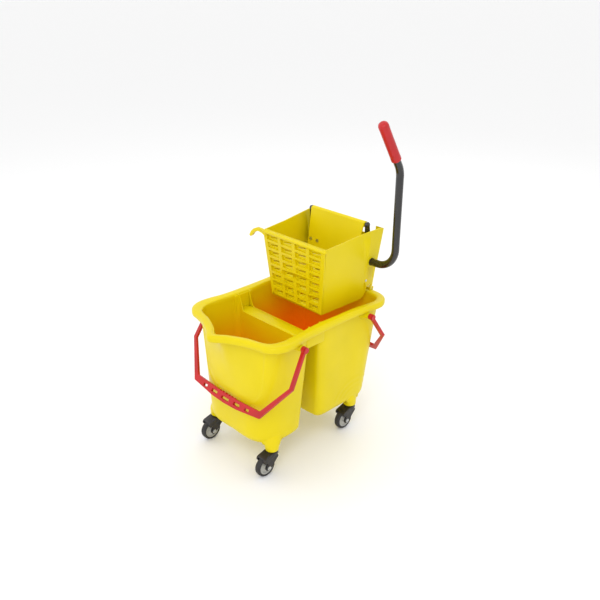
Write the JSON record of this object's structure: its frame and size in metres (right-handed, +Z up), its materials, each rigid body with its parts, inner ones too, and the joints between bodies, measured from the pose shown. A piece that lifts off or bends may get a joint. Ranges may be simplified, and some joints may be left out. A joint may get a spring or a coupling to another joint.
{
  "type": "mop bucket with side-press wringer",
  "caption": "Twin-tub rolling mop bucket on swivel casters, with carrying bails and a lift-off side-press wringer worked by a bent lever.",
  "frame": {"origin": "on the floor, midway between the four caster stems", "axes": "+X to the lever's side (right), +Y to the rear where the wringer stands, +Z up"},
  "size_m": [0.415, 0.5288, 0.9189],
  "materials": {
    "yellow_polypropylene": "moulded, soft gloss",
    "red_polypropylene": "moulded, soft gloss",
    "grey_polypropylene": "moulded, matt",
    "black_nylon": "moulded, satin",
    "black_painted_steel": "gloss enamel",
    "zinc_steel": "bright zinc plate",
    "black_rubber": "matt"
  },
  "bodies": {
    "bucket": {"bucket_body": "yellow_polypropylene", "bail_pivot_pins": "red_polypropylene", "socket_fl": "zinc_steel", "socket_fr": "zinc_steel", "socket_rl": "zinc_steel", "socket_rr": "zinc_steel"},
    "front_bail": {"front_bail": "red_polypropylene"},
    "rear_bail": {"rear_bail": "red_polypropylene"},
    "wringer": {"wringer_body": "yellow_polypropylene", "shaft_bushings": "black_nylon", "link_pivot_pins": "zinc_steel", "return_springs": "zinc_steel"},
    "lever": {"lever_shaft": "black_painted_steel", "crank_arm_left": "black_painted_steel", "crank_arm_right": "black_painted_steel", "lever_tube": "black_painted_steel", "lever_grip": "red_polypropylene", "lever_roll_pin": "zinc_steel", "cross_rod": "black_painted_steel"},
    "plate": {"press_plate": "yellow_polypropylene", "link_brackets": "black_painted_steel", "plate_screws": "zinc_steel", "plate_link_pins": "zinc_steel"},
    "lower_links": {"lower_link_left": "zinc_steel", "lower_link_right": "zinc_steel"},
    "swivel_fl": {"stem_fl": "zinc_steel", "yoke_fl": "black_nylon", "axle_fl": "zinc_steel"},
    "wheel_fl": {"hub_fl": "grey_polypropylene", "tyre_fl": "black_rubber"},
    "swivel_fr": {"stem_fr": "zinc_steel", "yoke_fr": "black_nylon", "axle_fr": "zinc_steel"},
    "wheel_fr": {"hub_fr": "grey_polypropylene", "tyre_fr": "black_rubber"},
    "swivel_rl": {"stem_rl": "zinc_steel", "yoke_rl": "black_nylon", "axle_rl": "zinc_steel"},
    "wheel_rl": {"hub_rl": "grey_polypropylene", "tyre_rl": "black_rubber"},
    "swivel_rr": {"stem_rr": "zinc_steel", "yoke_rr": "black_nylon", "axle_rr": "zinc_steel"},
    "wheel_rr": {"hub_rr": "grey_polypropylene", "tyre_rr": "black_rubber"}
  },
  "joints": [
    {"name": "front_bail_swing", "type": "hinge", "parent": "bucket", "child": "front_bail", "pos_m": [0, -0.103, 0.385], "axis": [-1, 0, 0], "range_deg": [0, 150]},
    {"name": "rear_bail_swing", "type": "hinge", "parent": "bucket", "child": "rear_bail", "pos_m": [0, 0.156, 0.385], "axis": [1, 0, 0], "range_deg": [0, 100]},
    {"name": "wringer_lift", "type": "slide", "parent": "bucket", "child": "wringer", "axis": [0, 0, 1], "range_m": [0, 0.35]},
    {"name": "lever_swing", "type": "hinge", "parent": "wringer", "child": "lever", "pos_m": [0, 0.228, 0.508], "axis": [1, 0, 0], "range_deg": [0, 60], "stiffness_Nm_per_rad": 4, "springref_deg": -28.65},
    {"name": "plate_swing", "type": "hinge", "parent": "lever", "child": "plate", "pos_m": [0, 0.22, 0.615], "axis": [1, 0, 0], "range_deg": [-60, 0]},
    {"name": "link_swing", "type": "hinge", "parent": "wringer", "child": "lower_links", "pos_m": [0, 0.216, 0.452], "axis": [1, 0, 0], "range_deg": [0, 60]},
    {"name": "caster_fl_swivel", "type": "hinge", "parent": "bucket", "child": "swivel_fl", "pos_m": [-0.118, -0.157, 0.09], "axis": [0, 0, 1], "continuous": true},
    {"name": "caster_fl_roll", "type": "hinge", "parent": "swivel_fl", "child": "wheel_fl", "pos_m": [-0.118, -0.184, 0.03], "axis": [1, 0, 0], "continuous": true},
    {"name": "caster_fr_swivel", "type": "hinge", "parent": "bucket", "child": "swivel_fr", "pos_m": [0.118, -0.157, 0.09], "axis": [0, 0, 1], "continuous": true},
    {"name": "caster_fr_roll", "type": "hinge", "parent": "swivel_fr", "child": "wheel_fr", "pos_m": [0.118, -0.184, 0.03], "axis": [1, 0, 0], "continuous": true},
    {"name": "caster_rl_swivel", "type": "hinge", "parent": "bucket", "child": "swivel_rl", "pos_m": [-0.118, 0.157, 0.09], "axis": [0, 0, 1], "continuous": true},
    {"name": "caster_rl_roll", "type": "hinge", "parent": "swivel_rl", "child": "wheel_rl", "pos_m": [-0.118, 0.13, 0.03], "axis": [1, 0, 0], "continuous": true},
    {"name": "caster_rr_swivel", "type": "hinge", "parent": "bucket", "child": "swivel_rr", "pos_m": [0.118, 0.157, 0.09], "axis": [0, 0, 1], "continuous": true},
    {"name": "caster_rr_roll", "type": "hinge", "parent": "swivel_rr", "child": "wheel_rr", "pos_m": [0.118, 0.13, 0.03], "axis": [1, 0, 0], "continuous": true}
  ],
  "couplings": [
    {"joint": "plate_swing", "follows": "lever_swing", "ratio": -1},
    {"joint": "link_swing", "follows": "lever_swing", "ratio": 1}
  ]
}
